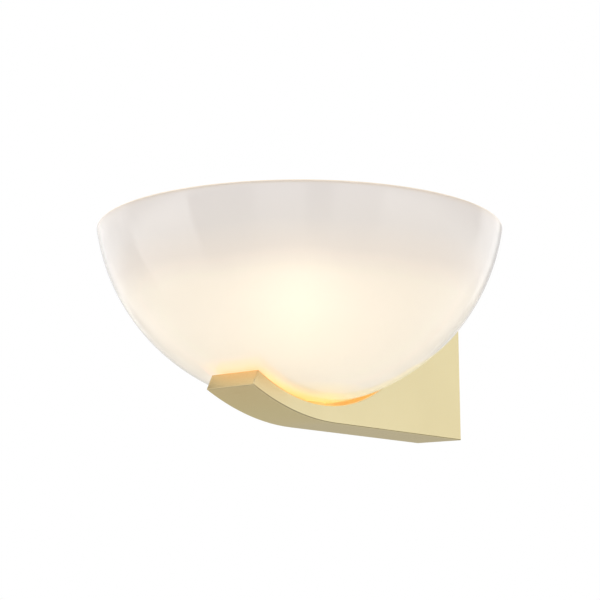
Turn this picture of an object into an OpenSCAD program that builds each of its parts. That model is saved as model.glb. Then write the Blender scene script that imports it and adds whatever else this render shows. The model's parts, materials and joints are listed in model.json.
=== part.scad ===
// Wall sconce: an opal glass bowl that sits in the curved arm of a hollow brass bracket.
// Millimetres. The origin is on the wall, in the middle of the wall plate's screws.
// +Z is up, +X is to the right of someone facing the wall, and the light stands out along -Y.

/* [Glass bowl] */
// Outside diameter of the bowl at its rim
bowl_d = 250; // [230:1:320]
// Depth of the bowl, from its rim to the outside of its bottom
bowl_depth = 106; // [90:1:112]
// Thickness of the glass
glass_t = 4; // [3:0.5:5]
// Gap all round between the lampholder and the hole in the bowl
glass_hole_gap = 1; // [0.6:0.1:2]

/* [Bracket] */
// Width of the bracket
arm_w = 36; // [35:1:60]
// Thickness of the arm under the middle of the bowl
arm_t = 10.6; // [10.4:0.1:16]
// Thickness of the arm at its front end
tip_t = 10.3; // [6:0.1:14]
// Angle that the arm follows round the bowl, in front of its lowest point
tip_angle = 27.6; // [20:0.1:35]
// How far behind the bowl's centre line the flat underside starts to curve up
under_flat = 12.5; // [5:0.5:30]
// Depth of the post, from the wall to the bowl's seat at the height of the rim
post_d = 27.5; // [27:0.5:45]
// How far the post rises above the bowl's rim
post_rise = 15; // [8:0.5:18]
// Wall thickness of the hollow bracket
shell_t = 2; // [1.6:0.1:2.4]
// Thickness of the wall on top of the post
top_wall_t = 3; // [2.6:0.1:5]
// Gap between the glass and the brass
cradle_gap = 0.8; // [0.6:0.1:1.5]
// Gap between soft pads and the piece that rests on them
pad_gap = 0.3; // [0.2:0.05:0.5]
// Size of the eased edges along both sides of the bracket
edge_ease = 0.5; // [0.2:0.1:0.8]

/* [Wall plate] */
// Thickness of the plate's steel
plate_t = 2; // [1.5:0.1:3]
// Gap on each side between the plate and the inside of the bracket
plate_side_gap = 1; // [0.5:0.1:2]
// Distance between the two screw slots
slot_spacing = 50; // [40:1:56]
// Length of a slot, end to end
slot_length = 10; // [6:0.5:12]
// Width of a slot
slot_w = 4.5; // [4:0.1:5.5]
// Diameter of the cable hole
cable_hole_d = 12; // [10:0.5:16]
// Bore of the grommet in the cable hole
grommet_bore_d = 8; // [6:0.5:9]
// How far the plate's top tab stands out from the wall
tab_d = 16; // [14:0.5:20]
// Gap between the bracket and the tab and hook that it hangs on
hang_gap = 0.3; // [0.2:0.05:0.5]
// Thickness of the bracket's cross bar behind that hook
bar_t = 3.4; // [2:0.1:5]
// Height of the cross bar
bar_h = 7.5; // [5:0.5:9]
// How far the bracket lifts to come off the wall plate
bracket_lift = 7; // [6.5:0.5:8]
// Distance from the inside of the bracket's floor to the hook
hook_floor_gap = 10; // [9:0.5:14]

/* [Locking screw] */
// Diameter of the locking screw's thread
lock_d = 4; // [3:0.5:5]
// Length of the locking screw
lock_length = 11; // [9:0.5:14]
// Diameter of its countersunk head
lock_head_d = 8; // [7:0.5:10]
// Distance from the wall to the locking screw
lock_y = 9; // [8:0.5:10]

/* [Lampholder] */
// Diameter of the threaded tube
tube_d = 10; // [9:0.5:11]
// Bore of the threaded tube
tube_bore_d = 8; // [7:0.5:8.5]
// Height of the lock nut inside the arm
nut_h = 2.6; // [2:0.1:3]
// Width of the lock nut across its flats
nut_af = 14; // [13:0.5:17]
// Thickness of the washers
washer_t = 0.6; // [0.4:0.1:0.8]
// Depth of the flat seat sunk into the arm under the lampholder
seat_sink = 0.4; // [0.3:0.1:0.8]
// Outside diameter of the threaded sleeve
sleeve_d = 24; // [23:0.5:26]
// Height of the threaded sleeve
sleeve_h = 25; // [23:0.5:30]
// Wall of the threaded sleeve
sleeve_t = 1.5; // [1.2:0.1:2]
// Thickness of the sleeve's base
sleeve_base_t = 3; // [2.5:0.1:4]
// Height of the ceramic insert below its flange
socket_h = 11.6; // [10:0.1:13]
// Thickness of the ceramic insert's flange
socket_flange_t = 3; // [2:0.1:4]
// Width of the gaskets' rings
gasket_w = 4; // [3:0.5:4.5]
// Thickness of the upper gasket at its outer edge
gasket_t = 1.6; // [1:0.1:2.5]
// Height of the shade ring
ring_h = 6; // [5:0.5:8]
// Outside diameter of the shade ring
ring_d = 36; // [33:0.5:42]
// Running clearance between the shade ring and the sleeve's thread
ring_clearance = 0.08; // [0.05:0.01:0.1]

/* [Lamp] */
// Distance between the lamp's two pins
pin_spacing = 9; // [8.5:0.5:9.5]
// Diameter of a pin
pin_d = 0.8; // [0.7:0.1:1]
// Length of the pins below the lamp's base
pin_length = 7; // [6:0.5:8]
// Width of the lamp's flat base
base_w = 12.6; // [12:0.1:13]
// Thickness of the lamp's flat base
base_t = 5.6; // [5:0.1:6]
// Height of the flat base
base_h = 12; // [10:0.5:14]
// Diameter of the lamp's body
lamp_d = 17; // [14:0.5:19]
// Height of the white housing over the base
housing_h = 12; // [10:0.5:15]
// Height of the opal cover, from the housing to its top
cover_h = 34; // [28:0.5:38]
// Wall of the opal cover
cover_t = 1.2; // [1:0.1:1.6]

/* [Connections] */
// Distance from the wall to the front of the terminal block
block_front = 34; // [33:0.5:34]
// Depth of the terminal block
block_d = 14; // [13:0.5:15]
// Height of the terminal block
block_h = 17; // [16:0.5:20]
// Height of the terminal block's underside above the middle of the wall plate
block_z = -7; // [-8:0.5:-6]
// Distance between the terminals
pole_pitch = 9; // [9:0.1:9.6]
// Outside diameter of a terminal's brass tube
pole_d = 4.2; // [4:0.1:4.4]
// Bore of a terminal's brass tube
pole_bore_d = 3; // [2.8:0.1:3.2]
// Thickness of the web that carries the terminal block
web_t = 2; // [1.5:0.1:2.2]
// How far the web reaches below the terminal block
web_drop = 24; // [23:0.5:26]
// Diameter of the insulated wires
wire_d = 1.8; // [1.6:0.1:2]

/* [Hidden] */
$fn = 96;
eps = 0.01;
far = 400;
// How far a cut reaches past a face, and the same round an arc, in degrees
over = 1;
over_angle = 1;
thread_gap = 0.05;
touch_gap = 0.02;
// Slots for a flat driver
driver_w = 0.6;
driver_depth = 0.8;

// The bowl is a cap of a sphere. Its centre lies above the rim.
rim_r = bowl_d / 2;
sphere_r = (rim_r * rim_r + bowl_depth * bowl_depth) / (2 * bowl_depth);
centre_rise = sphere_r - bowl_depth;
inner_r = sphere_r - glass_t;
cradle_r = sphere_r + cradle_gap;

// Heights, and the distance from the wall to the bowl's centre line
total_h = arm_t + cradle_gap + bowl_depth + post_rise;
under_z = -total_h / 2;
top_z = total_h / 2;
rim_z = top_z - post_rise;
bowl_z = rim_z + centre_rise;
reach = post_d + sqrt(cradle_r * cradle_r - centre_rise * centre_rise);
seat_z = bowl_z - cradle_r - seat_sink;
boss_z = seat_z - shell_t;
floor_z = under_z + shell_t;

// The curved underside runs from the flat part up to the lower edge of the front end
tip_r = cradle_r + tip_t;
tip_back = tip_r * sin(tip_angle) + under_flat;
tip_up = bowl_z - tip_r * cos(tip_angle) - under_z;
under_r = (tip_back * tip_back + tip_up * tip_up) / (2 * tip_up);
under_y = -reach + under_flat;

// Wall plate, its tab and its hook
inside_w = arm_w - 2 * shell_t;
plate_w = inside_w - 2 * plate_side_gap;
tab_z = top_z - top_wall_t - hang_gap;
hook_z = floor_z + hook_floor_gap;
hook_y = plate_t + bar_t + 2 * hang_gap;
lift_spare = 1;
hook_h = plate_t + bracket_lift - lift_spare;
bar_z = hook_z + plate_t + hang_gap;
grommet_t = 1.5;
grommet_flange_w = 2;
grommet_flange_r = cable_hole_d / 2 + grommet_flange_w;

// Locking screw
lock_clearance = 0.3;
lock_head_h = (lock_head_d - lock_d) / 2;
lock_drive_af = 2.5;
lock_drive_depth = 1.6;

// Lampholder, from the arm upwards
sleeve_r = sleeve_d / 2;
sleeve_z = seat_z + washer_t;
sleeve_top = sleeve_z + sleeve_h;
socket_top = sleeve_top + socket_flange_t;
socket_r = sleeve_r - sleeve_t - thread_gap;
tube_z = boss_z - washer_t - nut_h;
tube_end = 2;
tube_top = sleeve_z + sleeve_base_t + tube_end;
pad_side_gap = 0.3;
seat_pad_in = sleeve_r + pad_side_gap;
seat_pad_out = seat_pad_in + gasket_w;
seat_r = seat_pad_out + pad_side_gap;
boss_margin = 1;
washer_teeth = 12;
washer_margin = 0.5;
washer_notch_r = 0.7;
holder_washer_r = sleeve_r - 1;
glass_hole_r = sleeve_r + glass_hole_gap;
gasket_in = sleeve_r + glass_hole_gap / 2;
gasket_out = gasket_in + gasket_w;
gasket_top = bowl_z - sqrt(inner_r * inner_r - gasket_out * gasket_out) + gasket_t;
ring_z = gasket_top + pad_gap;
ring_collar_w = 2;
ring_collar_h = ring_h / 3;
ring_notches = 12;
ring_notch_r = 1.6;
ring_notch_out = 0.6;

// Lamp and its socket
recess_gap = 0.5;
recess_depth = 7;
recess_z = socket_top - recess_depth;
base_z = recess_z + pad_gap;
housing_z = base_z + base_h;
cover_z = housing_z + housing_h;
lamp_r = lamp_d / 2;
contact_r = 1.5;
contact_hole_r = contact_r + thread_gap;
contact_low = 0.8;
contact_cap = 0.5;
pin_clearance = 0.08;
contact_base_t = 1.5;
contact_z = sleeve_top - socket_h - contact_low;
socket_screw_y = 7;
socket_screw_r = 1.5;
socket_screw_gap = 0.5;
socket_head_r = 2.4;
socket_head_h = 1.6;
housing_cone_h = 3;
housing_cone_in = 2;
board_t = 1;
board_sink = 2;
board_side_gap = 1.5;
board_groove_margin = 1;
led_size = 2.4;
led_rows = 4;
led_start = 4;
led_stand = 0.6;

// Pads on the brass, as angles round the bowl from its lowest point, towards the front
pad_angles = [19, -71];
pad_r = 4.5;
pad_sink = 1;

// Terminal block and earth
block_w = 3 * pole_pitch;
pole_y = -block_front + block_d / 2;
pole_r = pole_d / 2;
pole_inset = 1;
pole_z = block_z + pole_inset;
pole_h = block_h - 2 * pole_inset;
clamp_r = 1.3;
clamp_room = 0.5;
clamp_end = 4;
clamp_sink = 1;
clamp_z = [block_z + clamp_end, block_z + block_h - clamp_end];
clamp_tip_y = pole_y + wire_d / 2 + touch_gap;
fixing_r = 1.5;
fixing_head_r = 2.4;
fixing_head_h = 1.8;
fixing_sink = 4;
fixing_z = block_z + block_h / 2;
groove_w = 1.2;
groove_d = 2.5;
groove_h = 3;
web_y = -block_front - web_t;
web_z = block_z - web_drop;
earth_z = block_z - 18;
earth_r = 2;
earth_head_r = 3.5;
earth_head_h = 2.2;
earth_tail = 2;
lug_t = 0.8;
lug_r = 3.8;
barrel_r = 1.6;
barrel_z = block_z - 13;
barrel_h = 5;
barrel_y = -block_front + barrel_r;
barrel_base_t = 0.4;
barrel_gap = 0.2;

// Routes of the wires, which leave the terminals from the height of their lower clamps. Live and
// neutral mirror each other. They curve down the post, run along the arm and rise through the tube.
duct_gap = 1;
duct_z = floor_z + wire_d / 2 + duct_gap;
duct_x = 1.5;
duct_back = 65;
tube_bend = 4;
wire_end_gap = 0.8;
rise_z = tube_top - 1;
contact_end_z = contact_z - wire_end_gap;
earth_end_z = barrel_z + barrel_base_t + 0.2;
earth_bend_h = 9.3;
wire_steps = 6;
function smooth(t) = t * t * (3 - 2 * t);
post_part = [for (t = [0:0.1:1])
    [
        -pole_pitch + (pole_pitch - duct_x) * t,
        pole_y - (reach - duct_back + pole_y) * (1 - cos(90 * t)),
        web_z + (duct_z - web_z) * sin(90 * t)
    ]];
arm_part = [for (s = [0.6, 0.3, 0.05])
    [-duct_x, -reach + tube_bend + (duct_back - tube_bend) * s, duct_z]];
bend_part = [for (t = [0:22.5:90])
    [-duct_x, -reach + tube_bend * (1 - sin(t)), duct_z + tube_bend * (1 - cos(t))]];
rise_part = [for (i = [0:wire_steps])
    let (t = i / wire_steps)
    [-duct_x - (pin_spacing / 2 - duct_x) * smooth(t), -reach, rise_z + (contact_end_z - rise_z) * t]];
live_route = concat(
    [for (s = [0:0.2:0.8]) [-pole_pitch, pole_y, clamp_z[0] + (web_z - clamp_z[0]) * s]],
    post_part, arm_part, bend_part, rise_part
);
earth_route = concat(
    [[0, pole_y, clamp_z[0]]],
    [for (i = [0:wire_steps]) let (t = i / wire_steps)
        [0, pole_y + (barrel_y - pole_y) * smooth(t), pole_z - earth_bend_h * t]],
    [[0, barrel_y, earth_end_z + 2], [0, barrel_y, earth_end_z]]
);
wire_sides = 8;

brass = [0.86, 0.79, 0.6];
steel = [0.72, 0.73, 0.74];
clear_pad = [0.9, 0.9, 0.88];
bare_brass = [0.8, 0.66, 0.36];
porcelain = [0.93, 0.92, 0.88];
opal = [0.98, 0.96, 0.93, 0.6];
nylon = [0.9, 0.9, 0.87];
rubber = [0.25, 0.25, 0.25];
lamp_white = [0.95, 0.95, 0.93];
lamp_opal = [0.99, 0.98, 0.95];
board_colour = [0.9, 0.9, 0.8];
brown = [0.45, 0.28, 0.18];
blue = [0.2, 0.4, 0.75];
green = [0.45, 0.65, 0.2];

// Small helpers
module on_axis(z) {
    translate([0, -reach, z]) children();
}

module across(w) {
    translate([-w / 2, 0, 0]) rotate([90, 0, 90]) linear_extrude(w) children();
}

module along_y(y, z) {
    translate([0, y, z]) rotate([-90, 0, 0]) children();
}

module block(low, high) {
    translate(low) cube(high - low);
}

// Cylinder that cuts right through something of a height
module through(h, r) {
    translate([0, 0, -over]) cylinder(h = h + 2 * over, r = r);
}

// Slot for a flat driver, in an end of a radius at a height
module driver_slot(top, r) {
    half = r + over;
    block([-driver_w / 2, -half, top - driver_depth], [driver_w / 2, half, top + over]);
}

// Screw that stands on its tip
module slotted_screw(r, shank_h, head_r, head_h) {
    difference() {
        union() {
            cylinder(h = shank_h + eps, r = r);
            translate([0, 0, shank_h]) cylinder(h = head_h, r = head_r);
        }
        driver_slot(shank_h + head_h, head_r);
    }
}

module both_sides() {
    children();
    mirror([1, 0, 0]) children();
}

// Frame whose +Z points away from the middle of the bowl, at an angle from straight down to the front
module round_bowl(angle, r) {
    translate([0, -reach, bowl_z]) rotate([180 - angle, 0, 0]) translate([0, 0, r]) children();
}

// Side outline of the bracket in the YZ plane, drawn in by a distance on every visible side
module side_outline(in, top_in, back) {
    along = [-sin(tip_angle), -cos(tip_angle)];
    inward = [cos(tip_angle), -sin(tip_angle)];
    start = [-reach, bowl_z] + in * inward;
    difference() {
        intersection() {
            union() {
                translate([under_y, under_z + under_r]) circle(under_r - in, $fn = 360);
                translate([under_y, under_z + in]) square([back - under_y, total_h]);
            }
            polygon([
                start, start + far * along, [back, -far], [back, top_z - top_in],
                [start[0], top_z - top_in]
            ]);
        }
        translate([-reach, bowl_z]) circle(cradle_r + in, $fn = 360);
    }
}

// Section of the cut that eases an edge. The two signs say on which sides the brass ends.
function ease_section(u, v) = edge_ease * [[-2 * u, v], [u, -2 * v], [u, v]];

module ease_along_y(from, to, u, v) {
    translate([0, to, 0]) rotate([90, 0, 0]) linear_extrude(to - from) polygon(ease_section(u, v));
}

// Angles are from straight down, and grow towards the wall
module ease_arc(r, from, to, u) {
    rotate([0, 90, 0]) rotate([0, 0, from]) rotate_extrude(angle = to - from, $fn = 360)
        translate([r, 0]) polygon(ease_section(u, 1));
}

// The edges along both sides of the bracket, and those across its front end and its top
module eased_edges() {
    post_end = acos((bowl_z - top_z) / cradle_r);
    under_end = asin(tip_back / under_r);
    both_sides() translate([arm_w / 2, 0, 0]) {
        translate([0, -reach, bowl_z])
            ease_arc(cradle_r, -tip_angle - over_angle, post_end + over_angle, -1);
        translate([0, under_y, under_z + under_r])
            ease_arc(under_r, -under_end - over_angle, 0, 1);
        translate([0, 0, under_z]) ease_along_y(under_y, over, 1, -1);
        translate([0, 0, top_z]) ease_along_y(-2 * post_d, over, 1, 1);
        round_bowl(tip_angle, cradle_r - over) linear_extrude(tip_t + 2 * over)
            polygon(ease_section(1, 1));
    }
    round_bowl(tip_angle, cradle_r) across(2 * arm_w) polygon(ease_section(1, -1));
    round_bowl(tip_angle, tip_r) across(2 * arm_w) polygon(ease_section(1, 1));
    translate([0, -reach + cradle_r * sin(post_end), top_z])
        across(2 * arm_w) polygon(ease_section(-1, 1));
}

// Wall plate body
module wall_plate() {
    color(steel) difference() {
        union() {
            block([-plate_w / 2, -plate_t, hook_z], [plate_w / 2, 0, tab_z]);
            block([-plate_w / 2, -tab_d, tab_z - plate_t], [plate_w / 2, 0, tab_z]);
            block([-plate_w / 2, -hook_y - plate_t, hook_z], [plate_w / 2, 0, hook_z + plate_t]);
            block([-plate_w / 2, -hook_y - plate_t, hook_z], [plate_w / 2, -hook_y, hook_z + hook_h]);
        }
        for (side = [-1, 1]) {
            translate([0, 0, side * slot_spacing / 2]) slot_cut();
        }
        along_y(-plate_t, 0) through(plate_t, cable_hole_d / 2);
        translate([0, -lock_y, tab_z - plate_t]) through(plate_t, lock_d / 2 + thread_gap);
    }
}

module slot_cut() {
    half = (slot_length - slot_w) / 2;
    for (side = [-1, 1]) {
        along_y(-plate_t, side * half) through(plate_t, slot_w / 2);
    }
    block([-slot_w / 2, -plate_t - over, -half], [slot_w / 2, over, half]);
}

module cable_grommet() {
    color(rubber) difference() {
        union() {
            along_y(-plate_t - grommet_t, 0) cylinder(h = grommet_t, r = grommet_flange_r);
            along_y(-plate_t - eps, 0) cylinder(h = plate_t + eps, r = cable_hole_d / 2 - touch_gap);
        }
        along_y(-plate_t - grommet_t, 0) through(plate_t + grommet_t, grommet_bore_d / 2);
    }
}

// Bracket body
module bracket_hollow() {
    difference() {
        intersection() {
            across(inside_w) side_outline(shell_t, top_wall_t, over);
            block([-arm_w, -reach - sleeve_r, -far], [arm_w, far, far]);
        }
        on_axis(boss_z) cylinder(h = total_h, r = seat_r + boss_margin);
    }
}

module bracket() {
    color(brass) difference() {
        union() {
            difference() {
                across(arm_w) side_outline(0, 0, 0);
                bracket_hollow();
            }
            block(
                [-inside_w / 2 - eps, web_y, web_z],
                [inside_w / 2 + eps, -block_front, block_z + block_h + web_t]
            );
            block(
                [-inside_w / 2 - eps, -plate_t - hang_gap - bar_t, bar_z],
                [inside_w / 2 + eps, -plate_t - hang_gap, bar_z + bar_h]
            );
        }
        on_axis(seat_z) cylinder(h = total_h, r = seat_r);
        on_axis(boss_z) through(shell_t, tube_d / 2 + thread_gap);
        for (angle = pad_angles) {
            round_bowl(angle, cradle_r - shell_t)
                cylinder(h = shell_t + pad_sink, r = pad_r + touch_gap);
        }
        locking_hole();
        for (side = [-1, 1]) {
            translate([side * pole_pitch / 2, 0, 0])
                along_y(web_y, fixing_z) through(web_t, fixing_r + thread_gap);
        }
        along_y(web_y, earth_z) through(web_t, earth_r + thread_gap);
        eased_edges();
    }
}

module locking_hole() {
    hole_r = lock_d / 2 + lock_clearance;
    translate([0, -lock_y, top_z - top_wall_t]) through(top_wall_t, hole_r);
    translate([0, -lock_y, top_z - lock_head_h])
        cylinder(h = lock_head_h + eps, r1 = hole_r, r2 = hole_r + lock_head_h + eps);
}

module locking_screw() {
    color(bare_brass) translate([0, -lock_y, top_z - lock_length]) difference() {
        union() {
            cylinder(h = lock_length, d = lock_d);
            translate([0, 0, lock_length - lock_head_h])
                cylinder(h = lock_head_h, r1 = lock_d / 2, r2 = lock_head_d / 2);
        }
        translate([0, 0, lock_length - lock_drive_depth])
            cylinder(h = lock_drive_depth + over, r = lock_drive_af / sqrt(3), $fn = 6);
    }
}

module glass_bumpers() {
    color(clear_pad) for (angle = pad_angles) {
        round_bowl(angle, sphere_r + pad_gap) cylinder(h = cradle_gap - pad_gap + pad_sink, r = pad_r);
    }
}

module seat_pad() {
    color(clear_pad) on_axis(0) rotate_extrude() difference() {
        translate([seat_pad_in, seat_z]) square([gasket_w, shell_t + cradle_gap + seat_sink]);
        translate([0, bowl_z]) circle(sphere_r + pad_gap, $fn = 360);
    }
}

module threaded_tube() {
    color(bare_brass) on_axis(tube_z) difference() {
        cylinder(h = tube_top - tube_z, d = tube_d);
        through(tube_top - tube_z, tube_bore_d / 2);
    }
}

module lock_nut() {
    color(steel) on_axis(tube_z) difference() {
        cylinder(h = nut_h, r = nut_af / sqrt(3), $fn = 6);
        through(nut_h, tube_d / 2 + thread_gap);
    }
}

module star_washer() {
    outer_r = nut_af / 2 + washer_margin;
    color(steel) on_axis(boss_z - washer_t) difference() {
        cylinder(h = washer_t, r = outer_r);
        through(washer_t, tube_d / 2 + thread_gap);
        for (i = [0:washer_teeth - 1]) {
            rotate(i * 360 / washer_teeth) translate([outer_r, 0, 0]) through(washer_t, washer_notch_r);
        }
    }
}

module holder_washer() {
    color(steel) on_axis(seat_z) difference() {
        cylinder(h = washer_t, r = holder_washer_r);
        through(washer_t, tube_d / 2 + thread_gap);
    }
}

module holder_sleeve() {
    color(nylon) on_axis(sleeve_z) difference() {
        cylinder(h = sleeve_h, r = sleeve_r);
        translate([0, 0, sleeve_base_t]) cylinder(h = sleeve_h, r = sleeve_r - sleeve_t);
        through(sleeve_base_t, tube_d / 2 + thread_gap);
        for (side = [-1, 1]) {
            translate([0, side * socket_screw_y, 0]) through(sleeve_base_t, socket_screw_r + thread_gap);
        }
    }
}

module ceramic_socket() {
    recess_w = base_w + 2 * recess_gap;
    recess_d = base_t + 2 * recess_gap;
    color(porcelain) on_axis(0) difference() {
        union() {
            translate([0, 0, sleeve_top - socket_h]) cylinder(h = socket_h + eps, r = socket_r);
            translate([0, 0, sleeve_top]) cylinder(h = socket_flange_t, r = sleeve_r);
        }
        block([-recess_w / 2, -recess_d / 2, recess_z], [recess_w / 2, recess_d / 2, socket_top + over]);
        for (side = [-1, 1]) {
            translate([side * pin_spacing / 2, 0, sleeve_top - socket_h])
                through(socket_h, contact_hole_r);
            translate([0, side * socket_screw_y, sleeve_top - socket_h])
                through(socket_h + socket_flange_t, socket_screw_r + thread_gap);
            translate([0, side * socket_screw_y, socket_top - socket_head_h])
                cylinder(h = socket_head_h + over, r = socket_head_r + thread_gap);
        }
    }
}

module socket_contacts() {
    color(bare_brass) for (side = [-1, 1]) {
        translate([side * pin_spacing / 2, -reach, contact_z]) difference() {
            cylinder(h = recess_z - contact_z - contact_cap, r = contact_r);
            translate([0, 0, contact_base_t])
                cylinder(h = recess_z - contact_z, r = pin_d / 2 + pin_clearance);
        }
    }
}

module socket_screws() {
    bottom = sleeve_z + socket_screw_gap;
    color(steel) for (side = [-1, 1]) {
        translate([0, -reach + side * socket_screw_y, bottom]) slotted_screw(
            socket_screw_r, socket_top - socket_head_h - bottom, socket_head_r, socket_head_h
        );
    }
}

// Bowl body
module glass_bowl() {
    color(opal) on_axis(bowl_z) rotate_extrude($fn = 180) intersection() {
        difference() {
            circle(sphere_r, $fn = 360);
            circle(inner_r, $fn = 360);
        }
        translate([glass_hole_r, -far]) square([far, far - centre_rise]);
    }
}

module upper_gasket() {
    color(clear_pad) on_axis(0) rotate_extrude() intersection() {
        translate([0, bowl_z]) circle(inner_r - touch_gap, $fn = 360);
        translate([gasket_in, gasket_top - glass_t]) square([gasket_w, glass_t]);
    }
}

// Shade ring body
module shade_ring() {
    color(bare_brass) on_axis(ring_z) difference() {
        union() {
            cylinder(h = ring_collar_h, d = ring_d);
            cylinder(h = ring_h, r = ring_d / 2 - ring_collar_w);
        }
        through(ring_h, sleeve_r + ring_clearance);
        for (i = [0:ring_notches - 1]) {
            rotate(i * 360 / ring_notches) translate([ring_d / 2 + ring_notch_out, 0, 0])
                through(ring_collar_h, ring_notch_r);
        }
    }
}

// Lamp body
module lamp_base() {
    color(lamp_white) on_axis(0) difference() {
        union() {
            block([-base_w / 2, -base_t / 2, base_z], [base_w / 2, base_t / 2, housing_z + eps]);
            translate([0, 0, housing_z])
                cylinder(h = housing_cone_h, r1 = lamp_r - housing_cone_in, r2 = lamp_r);
            translate([0, 0, housing_z + housing_cone_h])
                cylinder(h = housing_h - housing_cone_h, r = lamp_r);
        }
        translate([0, 0, cover_z - board_sink])
            cylinder(h = board_sink + over, r = lamp_r - cover_t - board_groove_margin);
    }
}

module lamp_pins() {
    color(steel) for (side = [-1, 1]) {
        translate([side * pin_spacing / 2, -reach, base_z - pin_length])
            cylinder(h = pin_length, d = pin_d);
    }
}

module lamp_cover() {
    inner = lamp_r - cover_t;
    straight = cover_h - lamp_r;
    color(lamp_opal) on_axis(cover_z) rotate_extrude() difference() {
        union() {
            square([lamp_r, straight]);
            intersection() {
                translate([0, straight]) circle(lamp_r);
                square([lamp_r, cover_h]);
            }
        }
        translate([0, -over]) square([inner, straight + over]);
        intersection() {
            translate([0, straight]) circle(inner);
            square([inner, cover_h]);
        }
    }
}

module lamp_board() {
    width = 2 * (lamp_r - cover_t - board_side_gap);
    height = cover_h - lamp_r;
    pitch = (height - led_start) / led_rows;
    color(board_colour) on_axis(cover_z - board_sink) {
        block([-width / 2, -board_t / 2, 0], [width / 2, board_t / 2, height]);
        for (i = [0:led_rows - 1]) {
            for (side = [-1, 1]) {
                translate([side * width / 4, 0, led_start + pitch * (i + 0.5)])
                    cube([led_size, board_t + 2 * led_stand, led_size], center = true);
            }
        }
    }
}

// Connections
module pole_places() {
    for (i = [-1:1]) {
        translate([i * pole_pitch, pole_y, 0]) children();
    }
}

module terminal_block() {
    low_y = -block_front;
    high_y = -block_front + block_d;
    color(nylon) difference() {
        block([-block_w / 2, low_y, block_z], [block_w / 2, high_y, block_z + block_h]);
        pole_places() {
            translate([0, 0, block_z]) through(block_h, pole_r + touch_gap);
            for (z = clamp_z) {
                along_y(0, z) cylinder(h = block_d, r = clamp_r + clamp_room);
            }
        }
        for (side = [-1, 1]) {
            translate([side * pole_pitch / 2, 0, 0]) {
                along_y(low_y, fixing_z) through(block_d, fixing_r + thread_gap);
                along_y(high_y - fixing_sink, fixing_z)
                    cylinder(h = fixing_sink + over, r = fixing_head_r + thread_gap);
                translate([0, high_y, 0]) groove(block_z - over, block_z + groove_h);
                translate([0, high_y, 0]) groove(block_z + block_h - groove_h, block_z + block_h + over);
            }
        }
    }
}

module groove(low_z, high_z) {
    block([-groove_w / 2, -groove_d, low_z], [groove_w / 2, over, high_z]);
}

module terminal_tubes() {
    color(bare_brass) pole_places() difference() {
        translate([0, 0, pole_z]) cylinder(h = pole_h, r = pole_r);
        translate([0, 0, pole_z]) through(pole_h, pole_bore_d / 2);
        for (z = clamp_z) {
            along_y(0, z) cylinder(h = pole_r + over, r = clamp_r + thread_gap);
        }
    }
}

module terminal_screws() {
    length = -block_front + block_d - clamp_sink - clamp_tip_y;
    color(steel) for (i = [-1:1]) {
        for (z = clamp_z) {
            translate([i * pole_pitch, 0, 0]) along_y(clamp_tip_y, z) difference() {
                cylinder(h = length, r = clamp_r);
                driver_slot(length, clamp_r);
            }
        }
    }
}

module terminal_fixings() {
    head_y = -block_front + block_d - fixing_sink;
    color(steel) for (side = [-1, 1]) {
        translate([side * pole_pitch / 2, 0, 0]) along_y(web_y, fixing_z)
            slotted_screw(fixing_r, head_y - web_y, fixing_head_r, fixing_head_h);
    }
}

module earth_screw() {
    color(bare_brass) along_y(web_y - earth_tail, earth_z)
        slotted_screw(earth_r, earth_tail + web_t + lug_t, earth_head_r, earth_head_h);
}

module earth_lug() {
    color(bare_brass) difference() {
        union() {
            along_y(-block_front, earth_z) cylinder(h = lug_t, r = lug_r);
            block([-barrel_r, -block_front, earth_z], [barrel_r, -block_front + lug_t, barrel_z + eps]);
            translate([0, barrel_y, barrel_z]) cylinder(h = barrel_h, r = barrel_r);
        }
        along_y(-block_front, earth_z) through(lug_t, earth_r + thread_gap);
        translate([0, barrel_y, barrel_z + barrel_base_t])
            cylinder(h = barrel_h, r = wire_d / 2 + barrel_gap);
    }
}

// Round wire along a route, as one closed tube
function unit(v) = v / norm(v);
function heading(route, i) =
    unit(route[min(i + 1, len(route) - 1)] - route[max(i - 1, 0)]);
function side_of(route, i) = unit(cross(heading(route, i), [1, 0, 0]));
function ring_point(route, i, a) =
    let (n = side_of(route, i), b = cross(heading(route, i), n))
    route[i] + wire_d / 2 * (cos(a) * n + sin(a) * b);
function sweep_points(route) = [
    for (i = [0:len(route) - 1]) for (k = [0:wire_sides - 1]) ring_point(route, i, k * 360 / wire_sides)
];
function sweep_sides(rings) = [
    for (i = [0:rings - 2]) for (k = [0:wire_sides - 1])
        let (next = (k + 1) % wire_sides, low = i * wire_sides, high = low + wire_sides)
        [low + k, low + next, high + next, high + k]
];
function sweep_caps(rings) = [
    [for (k = [wire_sides - 1:-1:0]) k],
    [for (k = [0:wire_sides - 1]) (rings - 1) * wire_sides + k]
];
function mirrored(route) = [for (p = route) [-p[0], p[1], p[2]]];

module wire(route) {
    polyhedron(sweep_points(route), concat(sweep_sides(len(route)), sweep_caps(len(route))));
}

module cable_live() {
    color(brown) wire(live_route);
}

module cable_neutral() {
    color(blue) wire(mirrored(live_route));
}

module cable_earth() {
    color(green) wire(earth_route);
}

wall_plate();
cable_grommet();
bracket();
locking_screw();
glass_bumpers();
seat_pad();
threaded_tube();
lock_nut();
star_washer();
holder_washer();
holder_sleeve();
ceramic_socket();
socket_contacts();
socket_screws();
glass_bowl();
upper_gasket();
shade_ring();
lamp_base();
lamp_pins();
lamp_cover();
lamp_board();
terminal_block();
terminal_tubes();
terminal_screws();
terminal_fixings();
earth_screw();
earth_lug();
cable_live();
cable_neutral();
cable_earth();
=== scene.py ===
import json
import math

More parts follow.
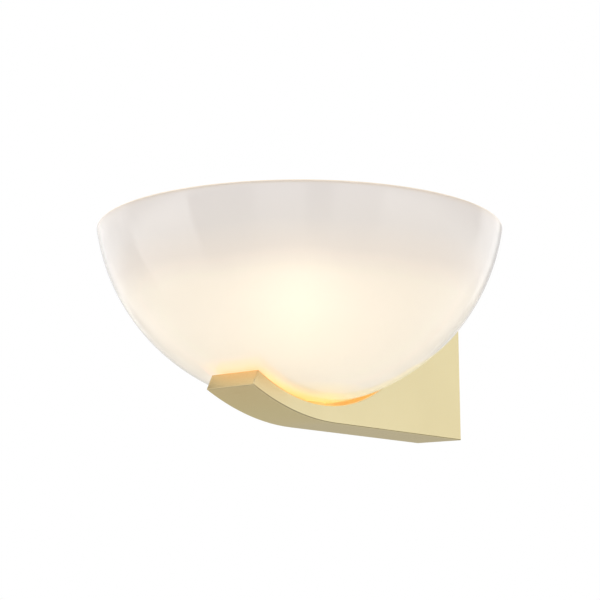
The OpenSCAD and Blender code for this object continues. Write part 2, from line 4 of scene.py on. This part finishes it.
import bmesh
import bpy
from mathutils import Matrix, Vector


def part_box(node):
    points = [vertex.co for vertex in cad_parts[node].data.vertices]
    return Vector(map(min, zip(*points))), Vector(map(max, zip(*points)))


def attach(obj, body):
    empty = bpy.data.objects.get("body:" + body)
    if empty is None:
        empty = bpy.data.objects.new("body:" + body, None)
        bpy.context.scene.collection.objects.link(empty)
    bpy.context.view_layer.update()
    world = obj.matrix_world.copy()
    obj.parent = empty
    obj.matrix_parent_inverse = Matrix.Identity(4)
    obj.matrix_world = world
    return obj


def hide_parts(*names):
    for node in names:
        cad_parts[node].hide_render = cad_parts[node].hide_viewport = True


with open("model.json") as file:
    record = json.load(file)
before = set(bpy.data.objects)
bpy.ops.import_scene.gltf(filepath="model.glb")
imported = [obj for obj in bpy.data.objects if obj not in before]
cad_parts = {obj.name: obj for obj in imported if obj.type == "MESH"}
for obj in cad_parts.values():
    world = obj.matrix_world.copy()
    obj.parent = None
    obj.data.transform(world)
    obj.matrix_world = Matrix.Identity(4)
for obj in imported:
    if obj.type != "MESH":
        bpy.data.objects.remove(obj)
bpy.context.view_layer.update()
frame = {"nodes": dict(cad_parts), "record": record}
nodes = frame["nodes"]


def hundredth(size):
    """A size in metres to 0.01 mm, because the frame's corners come from a mesh."""
    return round(size, 5)


# The bowl, in metres in the row frame: a cap of a sphere round the lampholder's axis
bowl_low, bowl_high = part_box("glass_bowl")
RIM_RADIUS = hundredth((bowl_high[0] - bowl_low[0]) / 2)
RIM_Z = hundredth(bowl_high[2])
AXIS_Y = hundredth((bowl_low[1] + bowl_high[1]) / 2)
BOWL_DEPTH = 0.106
SPHERE_RADIUS = hundredth((RIM_RADIUS ** 2 + BOWL_DEPTH ** 2) / (2 * BOWL_DEPTH))
SPHERE_Z = hundredth(RIM_Z - BOWL_DEPTH + SPHERE_RADIUS)
BOWL_BOTTOM = SPHERE_Z - SPHERE_RADIUS
GLASS_THICKNESS = 0.004
HOLE_RADIUS = 0.013
RIM_ROUND = 0.0005
ROUND_STEPS = 6
ARC_STEPS = 96
TURN_STEPS = 360
BOWL_SHARP = math.radians(40)

# The bracket, with the bowl's curve cut into it and its outer edges broken
bracket_low, bracket_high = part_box("bracket")
HALF_ARM = hundredth(bracket_high[0])
TIP_Y = bracket_low[1]
CRADLE_GAP = 0.0008
CRADLE_RADIUS = SPHERE_RADIUS + CRADLE_GAP
EDGE_BREAK = 0.0005
EDGE_STEPS = 3
BRACKET_SHARP = math.radians(30)
# How near to the arm's side its outer edges lie
SIDE_NEAR = EDGE_BREAK / 4
# Limits for cleaning the mesh: one point, one flat face, and the most corners that a face may have
WELD = 0.000001
FLAT = math.radians(0.5)
MOST_CORNERS = 4
# A face of a broken edge is a lower one when its normal has this much down and sideways in it
LOWER_LEAN = 0.2

# Where a painted reflection of the lit glass turns the arm's tip gold, with ranges over which that
# fades
REFLECTION_REACH = 0.018
REFLECTION_FROM_GLASS = (SPHERE_RADIUS, SPHERE_RADIUS + REFLECTION_REACH)
REFLECTION_FROM_TIP = (TIP_Y, TIP_Y + 2 * REFLECTION_REACH)

# Where the arm throws warm light into the glass, with ranges over which that starts or fades
WARM_FADE = 0.005
WARM_TOP = -0.036
WARM_ACROSS = (HALF_ARM - WARM_FADE, HALF_ARM + 1.5 * WARM_FADE)
WARM_BEHIND_TIP = (TIP_Y - WARM_FADE, TIP_Y + 3 * WARM_FADE)
WARM_UP = (WARM_TOP, WARM_TOP + WARM_FADE)

# The photograph's camera
CAMERA_AT = (0.5155, -0.7896, -0.1511)
CAMERA_TURN = (math.radians(101.15), 0, math.radians(38.99))
CAMERA_LENS = 81.2
SENSOR_WIDTH = 36.0
CLIP_END = 20.0

# The floor, and the lamps, which all point at one place on the lampholder's axis
FLOOR_Z = -0.42
FLOOR_RADIUS = 2.6
FLOOR_STEPS = 96
AIM = (0.0, AXIS_Y, 0.0)
LAMPS = [
    dict(name="key", place=(-1.2, -1.4, 1.4), width=1.2, height=1.2, power=14.0),
    dict(name="fill", place=(1.6, -0.9, 0.8), width=1.0, height=1.6, power=6.0),
]

# How bright the world is: as light, as background, and in its parts as glass and metal show it
STUDIO_LIGHT = 0.65
BACKGROUND_SEEN = 1.0
WALL_SEEN = 1.0
GROUND_SEEN = 0.68
CEILING_SEEN = 0.3
OVERHEAD_SEEN = 0.65
# How far up those parts begin or end, as the height of a direction one unit long
GROUND_ENDS = (-0.1, 0.0)
CEILING_BEGINS = (0.35, 0.65)
OVERHEAD_BEGINS = (0.82, 0.92)
STRIPS_BEGIN = (-0.65, -0.15)
STRIPS_END = (-0.1, 0.0)
HAZE_BEGINS = (-0.13, -0.03)
HAZE_ENDS = (0.2, 0.3)
# Upright soft strips below the level, and haze beside them near the level, in which a grey card
# takes light away. Each zone: from and to which turn from the front in degrees, and how bright.
# The last two zones of each pass 180 degrees, so that no gap shows behind the object.
STRIPS = [
    (-110, -69, 0.35), (-69, -23.5, 0.8), (15, 43, 0.32), (57, 85, 0.3), (85, 130, 0.6),
    (130, 175, 0.6), (175, 182, 0.25), (-182, -172, 0.25),
]
HAZE = [(-114, -69, 0.3), (-168, -124, -0.25), (158, 182, 0.4), (-182, -170, 0.4)]
ZONE_EDGE = 1.5


# Node helpers

# The range of a share, and the part of it in which nearly all of a noise lies
FULL = (0.0, 1.0)
NOISE = (0.3, 0.7)
# Places of the sockets for colours on a Mix node
MIX_FIRST = 6
MIX_SECOND = 7
MIX_RESULT = 2


def around(middle, reach):
    """The range that reaches as far below a value as above it."""
    return middle - reach, middle + reach


def opaque(colour):
    """A colour with full alpha, as a socket takes it."""
    return (*colour, 1.0)


class Nodes:
    """Short calls for the nodes of one tree."""

    def __init__(self, tree):
        self.tree = tree
        self.tree.nodes.clear()

    def feed(self, socket, value):
        """Links an output to a socket, or writes a value there."""
        if isinstance(value, bpy.types.NodeSocket):
            self.tree.links.new(value, socket)
        else:
            socket.default_value = value

    def fill(self, node, **inputs):
        """Feeds a node's inputs, named with _ for each space."""
        for name, value in inputs.items():
            self.feed(node.inputs[name.replace("_", " ")], value)

    def add(self, kind, **inputs):
        """A new node with its inputs filled."""
        node = self.tree.nodes.new(kind)
        self.fill(node, **inputs)
        return node

    def operate(self, kind, operation, *values):
        """A number worked out from values, which feed a node's inputs in order."""
        node = self.add(kind)
        node.operation = operation
        for socket, value in zip(node.inputs, values):
            self.feed(socket, value)
        return node.outputs["Value"]

    def math(self, operation, *values):
        """A number worked out from numbers."""
        return self.operate("ShaderNodeMath", operation, *values)

    def spread(self, factor, over, to):
        """A factor carried from one range to another, and held at its ends."""
        node = self.add("ShaderNodeMapRange", Value=factor, From_Min=over[0], From_Max=over[1],
                        To_Min=to[0], To_Max=to[1])
        return node.outputs["Result"]

    def grow(self, factor, over):
        """0 below a range and 1 above it."""
        return self.spread(factor, over, FULL)

    def fade(self, factor, over):
        """1 below a range and 0 above it."""
        return self.spread(factor, over, (1.0, 0.0))

    def ramp(self, factor, stops):
        """Colour ramp with (position, colour) stops."""
        node = self.add("ShaderNodeValToRGB", Fac=factor)
        elements = node.color_ramp.elements
        # Any position will do for the new ones, since the loop after this sets them all
        while len(elements) < len(stops):
            elements.new(0.5)
        for element, (position, colour) in zip(elements, stops):
            element.position = position
            element.color = opaque(colour)
        return node.outputs["Color"]

    def tones(self, noise, colours):
        """The clouds of a noise, from one colour to another."""
        return self.ramp(noise, list(zip(NOISE, colours)))


class Shade(Nodes):
    """A material with one Principled shader."""

    def __init__(self, name):
        self.material = bpy.data.materials.new(name)
        self.material.use_nodes = True
        super().__init__(self.material.node_tree)
        self.bsdf = self.add("ShaderNodeBsdfPrincipled")
        self.add("ShaderNodeOutputMaterial", Surface=self.bsdf.outputs["BSDF"])
        self.coords = self.add("ShaderNodeTexCoord").outputs["Object"]

    def set(self, **inputs):
        """Feeds the shader's inputs."""
        self.fill(self.bsdf, **inputs)

    def part(self, axis):
        """One of the object coordinates."""
        return self.add("ShaderNodeSeparateXYZ", Vector=self.coords).outputs[axis]

    def mix(self, share, first, second):
        """A colour between two others."""
        node = self.add("ShaderNodeMix")
        node.data_type = "RGBA"
        self.fill(node, Factor=share)
        self.feed(node.inputs[MIX_FIRST], first)
        self.feed(node.inputs[MIX_SECOND], second)
        return node.outputs[MIX_RESULT]

    def noise(self, scale, detail=4.0, stretch=None):
        """A noise on the object coordinates, drawn out along an axis whose stretch is under 1."""
        vector = self.coords
        if stretch:
            vector = self.add("ShaderNodeMapping", Vector=vector, Scale=stretch).outputs["Vector"]
        node = self.add("ShaderNodeTexNoise", Vector=vector, Scale=scale, Detail=detail)
        return node.outputs["Fac"]

    def bump(self, height, strength, depth):
        """Fine relief on the shader's normal, with its depth in metres."""
        node = self.add("ShaderNodeBump", Height=height, Strength=strength, Distance=depth)
        self.set(Normal=node.outputs["Normal"])


def add_object(name, data):
    """An object in the scene that has this mesh, camera or lamp."""
    made = bpy.data.objects.new(name, data)
    bpy.context.scene.collection.objects.link(made)
    return made


# Materials of the CAD pieces

# By slot of the record: colours from darker to lighter clouds, rough from smoother to rougher grain
METALS = {
    "plain_brass": dict(colours=((0.7, 0.5, 0.2), (0.78, 0.58, 0.27)), rough=(0.2, 0.34)),
    "zinc_steel": dict(colours=((0.6, 0.61, 0.62), (0.7, 0.71, 0.72)), rough=(0.3, 0.45)),
}
SILICONE = dict(rough=(0.35, 0.45), Transmission_Weight=0.2)
WIRE = dict(rough=(0.3, 0.45))
PLASTICS = {
    "black_rubber": dict(colours=((0.02, 0.02, 0.02), (0.04, 0.04, 0.04)), rough=(0.6, 0.8)),
    "white_nylon": dict(colours=((0.8, 0.8, 0.77), (0.86, 0.86, 0.83)), rough=(0.4, 0.55)),
    "circuit_board": dict(colours=((0.78, 0.76, 0.6), (0.85, 0.84, 0.72)), rough=(0.35, 0.5)),
    "porcelain": dict(
        colours=((0.84, 0.83, 0.79), (0.9, 0.89, 0.86)), rough=(0.12, 0.2), Coat_Weight=0.5,
    ),
    "brown_wire": dict(colours=((0.17, 0.07, 0.03), (0.24, 0.11, 0.05)), **WIRE),
    "blue_wire": dict(colours=((0.04, 0.12, 0.42), (0.08, 0.2, 0.55)), **WIRE),
    "green_wire": dict(colours=((0.16, 0.4, 0.05), (0.6, 0.62, 0.06)), **WIRE),
    "clear_silicone": dict(colours=((0.9, 0.87, 0.79), (0.94, 0.91, 0.84)), **SILICONE),
    "lit_silicone": dict(
        colours=((0.88, 0.62, 0.27), (0.92, 0.66, 0.31)),
        Emission_Color=opaque((0.5, 0.32, 0.08)), Emission_Strength=0.6, **SILICONE,
    ),
}
# The pad under the bowl's bottom shows the lamp's light, unlike the other pieces of its slot
LOOKS_LIKE = {"seat_pad": "lit_silicone"}


def metal(name, colours, rough):
    """Turned or plated metal with a mottled colour and fine scratches."""
    shade = Shade(name)
    clouds = shade.noise(scale=160.0, detail=3.0)
    scratches = shade.noise(scale=1400.0, detail=2.0, stretch=(1.0, 1.0, 0.2))
    shade.set(
        Base_Color=shade.tones(clouds, colours),
        Roughness=shade.spread(scratches, NOISE, rough),
        Metallic=1.0,
    )
    shade.bump(scratches, strength=0.08, depth=0.00005)
    return shade.material


def plastic(name, colours, rough, **others):
    """Moulded plastic, rubber, porcelain or insulation with a fine surface."""
    shade = Shade(name)
    clouds = shade.noise(scale=220.0, detail=3.0)
    grain = shade.noise(scale=2600.0, detail=2.0)
    shade.set(
        Base_Color=shade.tones(clouds, colours),
        Roughness=shade.spread(grain, NOISE, rough),
        **others,
    )
    shade.bump(grain, strength=0.1, depth=0.00006)
    return shade.material


def lamp_opal():
    """The lamp's milky cover, lit from inside."""
    shade = Shade("lamp_opal")
    clouds = shade.noise(scale=200.0)
    shade.set(
        Base_Color=shade.tones(clouds, ((0.93, 0.9, 0.84), (0.97, 0.95, 0.9))),
        Emission_Color=shade.tones(clouds, ((0.95, 0.8, 0.57), (1.0, 0.85, 0.62))),
        Emission_Strength=2.5,
        Roughness=shade.spread(clouds, NOISE, (0.3, 0.4)),
    )
    return shade.material


def dress(name, material):
    """Puts a material on a CAD node."""
    if not nodes[name].material_slots:
        nodes[name].data.materials.append(material)
    for slot in nodes[name].material_slots:
        slot.material = material


def dress_cad_pieces():
    """Gives the CAD nodes their materials, apart from the bracket and the bowl, which are replaced."""
    looks = {"lamp_opal": lamp_opal()}
    for slot, finish in METALS.items():
        looks[slot] = metal(slot, **finish)
    for slot, finish in PLASTICS.items():
        looks[slot] = plastic(slot, **finish)
    for subpart in frame["record"]["subparts"]:
        look = LOOKS_LIKE.get(subpart["node"], subpart["material_slot"])
        if look in looks:
            dress(subpart["node"], looks[look])


# The glass bowl

# Colours of the glass from its bottom at 0 to its rim at 1. The yellow near the bottom of the outside
# tint is painted warm light
OUTSIDE_TINT = [
    (0.0, (0.96, 0.8, 0.42)), (0.035, (0.93, 0.82, 0.6)), (0.08, (0.9, 0.83, 0.72)),
    (1.0, (0.76, 0.7, 0.66)),
]
OUTSIDE_GLOW = [
    (0.0, (0.8, 0.6, 0.2)), (0.035, (0.48, 0.4, 0.24)), (0.08, (0.39, 0.35, 0.27)),
    (0.4, (0.4, 0.36, 0.28)), (0.55, (0.37, 0.33, 0.25)), (0.68, (0.21, 0.18, 0.15)),
    (0.82, (0.14, 0.135, 0.13)), (1.0, (0.12, 0.115, 0.115)),
]
INSIDE_TINT = [(0.0, (0.8, 0.75, 0.66)), (1.0, (0.76, 0.71, 0.67))]
INSIDE_GLOW = [
    (0.0, (0.3, 0.26, 0.2)), (0.4, (0.28, 0.25, 0.2)), (0.75, (0.2, 0.17, 0.14)),
    (1.0, (0.12, 0.1, 0.08)),
]
# Light in the glass over the arm, and at its rim
ARM_GLOW = (1.15, 0.6, 0.22)
RIM_GLOW = (0.2, 0.14, 0.06)
# Roughness at the bottom and at the rim
GLASS_ROUGH = (0.8, 0.45)
# How far slow clouds shift those colours, as a share of the bowl's height
CLOUD_SHIFT = 0.015


def height_share(shade):
    """0 at the bowl's bottom and 1 at its rim, with slow clouds in the glass."""
    level = shade.grow(shade.part("Z"), (BOWL_BOTTOM, RIM_Z))
    clouds = shade.noise(scale=14.0, detail=2.0)
    return shade.math("ADD", level, shade.spread(clouds, NOISE, around(0.0, CLOUD_SHIFT)))


def over_arm(shade):
    """1 on the glass that faces the arm, which throws warm light back into it."""
    across = shade.fade(shade.math("ABSOLUTE", shade.part("X")), WARM_ACROSS)
    behind_tip = shade.grow(shade.part("Y"), WARM_BEHIND_TIP)
    low = shade.fade(shade.part("Z"), WARM_UP)
    return shade.math("MULTIPLY", shade.math("MULTIPLY", across, behind_tip), low)


def outside_glow(shade, level):
    """The lamp's light in the glass, warmer over the arm."""
    return shade.mix(over_arm(shade), shade.ramp(level, OUTSIDE_GLOW), opaque(ARM_GLOW))


def inside_glow(shade, level):
    """The lamp's light in the glass, as seen from inside."""
    return shade.ramp(level, INSIDE_GLOW)


def opal(name, tint, glow, clearness, **others):
    """Milky glass that tints and spreads light. From within, its faces neither glow nor look milky."""
    shade = Shade(name)
    level = height_share(shade)
    leaving = shade.add("ShaderNodeNewGeometry").outputs["Backfacing"]
    clear = shade.spread(level, FULL, clearness)
    shade.set(
        Base_Color=shade.ramp(level, tint),
        Emission_Color=glow(shade, level),
        Emission_Strength=shade.math("SUBTRACT", 1.0, leaving),
        Transmission_Weight=shade.math("MAXIMUM", clear, leaving),
        Roughness=shade.spread(level, FULL, GLASS_ROUGH),
        IOR=1.45,
        **others,
    )
    return shade.material


def glass_outside():
    """The outside, under a clear and glossy skin."""
    return opal("opal_glass", OUTSIDE_TINT, outside_glow, clearness=(0.5, 0.7),
                Coat_Weight=1.0, Coat_Roughness=0.02, Coat_IOR=2.0)


def glass_inside():
    """The inside, which has no skin."""
    return opal("opal_glass_inside", INSIDE_TINT, inside_glow, clearness=(0.3, 0.5))


def glass_rim():
    """The ground and polished edge, which gathers the lamp's light."""
    shade = Shade("opal_glass_rim")
    clouds = shade.noise(scale=60.0)
    shade.set(
        Base_Color=shade.tones(clouds, ((0.84, 0.79, 0.72), (0.88, 0.83, 0.76))),
        Emission_Color=opaque(RIM_GLOW),
        Emission_Strength=1.0,
        Roughness=shade.spread(shade.noise(scale=900.0), NOISE, (0.1, 0.2)),
    )
    return shade.material


def rounded(start, corner, end):
    """Points on a curve from a start to an end that rounds the corner between them."""
    points = []
    for i in range(ROUND_STEPS + 1):
        t = i / ROUND_STEPS
        points.append(tuple(
            (1 - t) ** 2 * start[k] + 2 * t * (1 - t) * corner[k] + t * t * end[k] for k in (0, 1)
        ))
    return points


def arc(radius, start, end):
    """Points on a circle round the bowl's centre, from one angle to another."""
    points = []
    for i in range(ARC_STEPS + 1):
        angle = start + (end - start) * i / ARC_STEPS
        points.append((radius * math.sin(angle), SPHERE_Z - radius * math.cos(angle)))
    return points


def bowl_profile():
    """Outline of the glass as (radius, height) points: outside, rim and inside."""
    inner_radius = SPHERE_RADIUS - GLASS_THICKNESS
    drop = SPHERE_Z - RIM_Z
    inner_rim = math.sqrt(inner_radius ** 2 - drop ** 2)
    outside = arc(SPHERE_RADIUS, math.asin(HOLE_RADIUS / SPHERE_RADIUS),
                  math.acos(drop / SPHERE_RADIUS) - RIM_ROUND / SPHERE_RADIUS)
    inside = arc(inner_radius, math.acos(drop / inner_radius) - RIM_ROUND / inner_radius,
                 math.asin(HOLE_RADIUS / inner_radius))
    rim = rounded(outside[-1], (RIM_RADIUS, RIM_Z), (RIM_RADIUS - RIM_ROUND, RIM_Z))
    rim += rounded((inner_rim + RIM_ROUND, RIM_Z), (inner_rim, RIM_Z), inside[0])
    return outside, rim[1:-1], inside


def lathe(name, profile):
    """A closed profile turned round the bowl's axis."""
    count = len(profile)
    points = []
    faces = []
    for i in range(TURN_STEPS):
        angle = 2 * math.pi * i / TURN_STEPS
        for radius, height in profile:
            points.append((radius * math.sin(angle), AXIS_Y - radius * math.cos(angle), height))
        after = (i + 1) % TURN_STEPS
        for k in range(count):
            step = (k + 1) % count
            faces.append((i * count + k, after * count + k, after * count + step, i * count + step))
    mesh = bpy.data.meshes.new(name)
    mesh.from_pydata(points, [], faces)
    mesh.shade_smooth()
    mesh.set_sharp_from_angle(angle=BOWL_SHARP)
    return add_object(name, mesh)


def make_bowl():
    """The CAD bowl turned in finer steps, with a rounded rim and a material on each of its parts."""
    outside, rim, inside = bowl_profile()
    profile = outside + rim + inside
    bowl = lathe("glass_shade", profile)
    for material in (glass_outside(), glass_rim(), glass_inside()):
        bowl.data.materials.append(material)
    rim_from = len(outside) - 1
    inside_from = len(outside) + len(rim)
    for face in bowl.data.polygons:
        step = face.index % len(profile)
        face.material_index = (step >= rim_from) + (step >= inside_from)
    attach(bowl, "bowl_unit")
    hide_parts("glass_bowl")


# The bracket

# Colours from darker to lighter clouds: the brass, and the darker brass painted along its lower edges
# as a dark reflection
BRASS = ((0.775, 0.675, 0.405), (0.81, 0.71, 0.43))
PAINTED_DARK_REFLECTION_BRASS = ((0.2, 0.165, 0.095), (0.24, 0.2, 0.115))
# The tint of what brass reflects at a glancing angle, and the gold of the painted reflection of the
# lit glass on the arm's tip
BRASS_TINT = (0.86, 0.8, 0.64)
TIP_PAINTED_REFLECTION = (0.72, 0.5, 0.24)


def painted_reflection_share(shade):
    """1 on the arm's tip beside the lit glass, where a deeper gold is painted into the brass as the
    glass's reflection.
    """
    centre = (0.0, AXIS_Y, SPHERE_Z)
    away = shade.operate("ShaderNodeVectorMath", "DISTANCE", shade.coords, centre)
    close = shade.fade(away, REFLECTION_FROM_GLASS)
    return shade.math("MULTIPLY", close, shade.fade(shade.part("Y"), REFLECTION_FROM_TIP))


def satin_brass(name, colours):
    """Brass with slow clouds, a very fine grain, and a painted reflection of the lit glass on the
    arm's tip.
    """
    shade = Shade(name)
    clouds = shade.noise(scale=18.0, detail=3.0)
    grain = shade.noise(scale=3500.0, detail=2.0)
    own = shade.tones(clouds, colours)
    shade.set(
        # The tip's base colour turns gold here as a painted reflection of the lit glass
        Base_Color=shade.mix(painted_reflection_share(shade), own, opaque(TIP_PAINTED_REFLECTION)),
        Roughness=shade.spread(grain, NOISE, (0.25, 0.29)),
        Metallic=1.0,
        Specular_Tint=opaque(BRASS_TINT),
    )
    shade.bump(grain, strength=0.04, depth=0.00002)
    return shade.material


def is_outer_edge(edge):
    """True for a sharp edge of the bracket's outer faces, away from the glass."""
    if len(edge.link_faces) != 2 or edge.calc_face_angle(0) < BRACKET_SHARP:
        return False
    radii = [math.hypot(corner.co.y - AXIS_Y, corner.co.z - SPHERE_Z) for corner in edge.verts]
    if all(abs(radius - CRADLE_RADIUS) < EDGE_BREAK for radius in radii):
        return False
    return all(abs(abs(corner.co.x) - HALF_ARM) < SIDE_NEAR for corner in edge.verts)


def is_lower(face):
    """True for a face that looks down and to a side."""
    return face.normal.z < -LOWER_LEAN and abs(face.normal.x) > LOWER_LEAN


def break_edges(work):
    """Bevels the outer edges, and gives the lower of the new faces the second material, whose darker
    brass is a painted dark reflection.
    """
    edges = [edge for edge in work.edges if is_outer_edge(edge)]
    made = bmesh.ops.bevel(work, geom=edges, offset=EDGE_BREAK, segments=EDGE_STEPS, profile=0.5,
                           affect="EDGES", clamp_overlap=True)
    work.normal_update()
    for face in made["faces"]:
        face.material_index = int(is_lower(face))


def make_bracket():
    """The CAD bracket with its outer edges broken, and darker brass painted along the lower ones as a
    dark reflection.
    """
    mesh = bpy.data.meshes.new("bracket_shell")
    mesh.materials.append(satin_brass("satin_brass", BRASS))
    # The second material is the brass darkened as a painted dark reflection on the lower edges
    mesh.materials.append(satin_brass("satin_brass_painted_dark_reflection", PAINTED_DARK_REFLECTION_BRASS))
    work = bmesh.new()
    work.from_mesh(nodes["bracket"].data)
    bmesh.ops.remove_doubles(work, verts=work.verts, dist=WELD)
    bmesh.ops.dissolve_limit(work, angle_limit=FLAT, verts=work.verts, edges=work.edges)
    break_edges(work)
    many_sided = [face for face in work.faces if len(face.verts) > MOST_CORNERS]
    bmesh.ops.triangulate(work, faces=many_sided)
    work.to_mesh(mesh)
    work.free()
    mesh.shade_smooth()
    mesh.set_sharp_from_angle(angle=BRACKET_SHARP)
    bracket = add_object("bracket_shell", mesh)
    weights = bracket.modifiers.new("flat_faces", "WEIGHTED_NORMAL")
    weights.keep_sharp = True
    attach(bracket, "bracket_unit")
    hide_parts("bracket")


# The studio

WHITE = opaque((1.0, 1.0, 1.0))
FLOOR_COLOURS = ((0.88, 0.88, 0.87), (0.9, 0.9, 0.89))


def make_camera():
    """The photograph's camera."""
    data = bpy.data.cameras.new("camera")
    data.lens = CAMERA_LENS
    data.sensor_width = SENSOR_WIDTH
    data.clip_end = CLIP_END
    camera = add_object("camera", data)
    camera.location = CAMERA_AT
    camera.rotation_euler = CAMERA_TURN
    bpy.context.scene.camera = camera


def by_turn(studio, turn, zones):
    """Brightness of upright zones at a turn from the front."""
    total = 0.0
    for start, end, strength in zones:
        on = studio.spread(turn, around(start, ZONE_EDGE), (0.0, strength))
        off = studio.spread(turn, around(end, ZONE_EDGE), (0.0, strength))
        total = studio.math("ADD", studio.math("SUBTRACT", on, off), total)
    return total


def seen_in_gloss(studio):
    """Walls over pale ground, a greyer ceiling, light overhead, and the strips and the haze."""
    direction = studio.add("ShaderNodeTexCoord").outputs["Generated"]
    parts = studio.add("ShaderNodeSeparateXYZ", Vector=direction)
    forward = studio.math("MULTIPLY", parts.outputs["Y"], -1.0)
    turn = studio.math("DEGREES", studio.math("ARCTAN2", parts.outputs["X"], forward))
    rise = parts.outputs["Z"]
    walls = studio.spread(rise, GROUND_ENDS, (GROUND_SEEN, WALL_SEEN))
    ceiling = studio.spread(rise, CEILING_BEGINS, (1.0, CEILING_SEEN))
    overhead = studio.grow(rise, OVERHEAD_BEGINS)
    seen = studio.math("MULTIPLY", walls, ceiling)
    seen = studio.math("MULTIPLY_ADD", overhead, OVERHEAD_SEEN - CEILING_SEEN, seen)
    for zones, begin, end in ((STRIPS, STRIPS_BEGIN, STRIPS_END), (HAZE, HAZE_BEGINS, HAZE_ENDS)):
        band = studio.math("MULTIPLY", studio.grow(rise, begin), studio.fade(rise, end))
        seen = studio.math("MULTIPLY_ADD", by_turn(studio, turn, zones), band, seen)
    return seen


def background(studio, strength):
    """White at a strength, which is a number or an output."""
    return studio.add("ShaderNodeBackground", Color=WHITE, Strength=strength).outputs["Background"]


def make_world():
    """Even light, a white background, and the painted studio for gloss."""
    world = bpy.data.worlds.new("studio")
    bpy.context.scene.world = world
    world.use_nodes = True
    studio = Nodes(world.node_tree)
    rays = studio.add("ShaderNodeLightPath").outputs
    straight = studio.math("MAXIMUM", rays["Is Camera Ray"], rays["Is Transmission Ray"])
    shown = background(studio, STUDIO_LIGHT)
    for share, strength in (
        (straight, BACKGROUND_SEEN),
        (rays["Is Glossy Ray"], seen_in_gloss(studio)),
    ):
        mix = studio.add("ShaderNodeMixShader")
        for socket, value in zip(mix.inputs, (share, shown, background(studio, strength))):
            studio.feed(socket, value)
        shown = mix.outputs["Shader"]
    studio.add("ShaderNodeOutputWorld", Surface=shown)


def make_floor():
    """A pale round floor under the object."""
    points = []
    for i in range(FLOOR_STEPS):
        angle = 2 * math.pi * i / FLOOR_STEPS
        points.append((
            FLOOR_RADIUS * math.cos(angle), AXIS_Y + FLOOR_RADIUS * math.sin(angle), FLOOR_Z,
        ))
    mesh = bpy.data.meshes.new("floor")
    mesh.from_pydata(points, [], [tuple(range(FLOOR_STEPS))])
    floor = add_object("floor", mesh)
    shade = Shade("floor")
    shade.set(Base_Color=shade.tones(shade.noise(scale=3.0), FLOOR_COLOURS), Roughness=0.8)
    mesh.materials.append(shade.material)
    # Gloss shows the world's pale ground instead, so the strips reach below the level
    floor.visible_glossy = False


def make_lamp(name, place, width, height, power):
    """A soft lamp, pointed at the object, that doesn't show in gloss or through glass."""
    data = bpy.data.lights.new(name, "AREA")
    data.shape = "RECTANGLE"
    data.size = width
    data.size_y = height
    data.energy = power
    lamp = add_object(name, data)
    lamp.location = place
    lamp.rotation_euler = (Vector(AIM) - Vector(place)).to_track_quat("-Z", "Y").to_euler()
    lamp.visible_glossy = False
    lamp.visible_transmission = False


# The scene

make_camera()
make_world()
make_floor()
for settings in LAMPS:
    make_lamp(**settings)
dress_cad_pieces()
make_bracket()
make_bowl()

bpy.context.scene.view_settings.view_transform = "Standard"
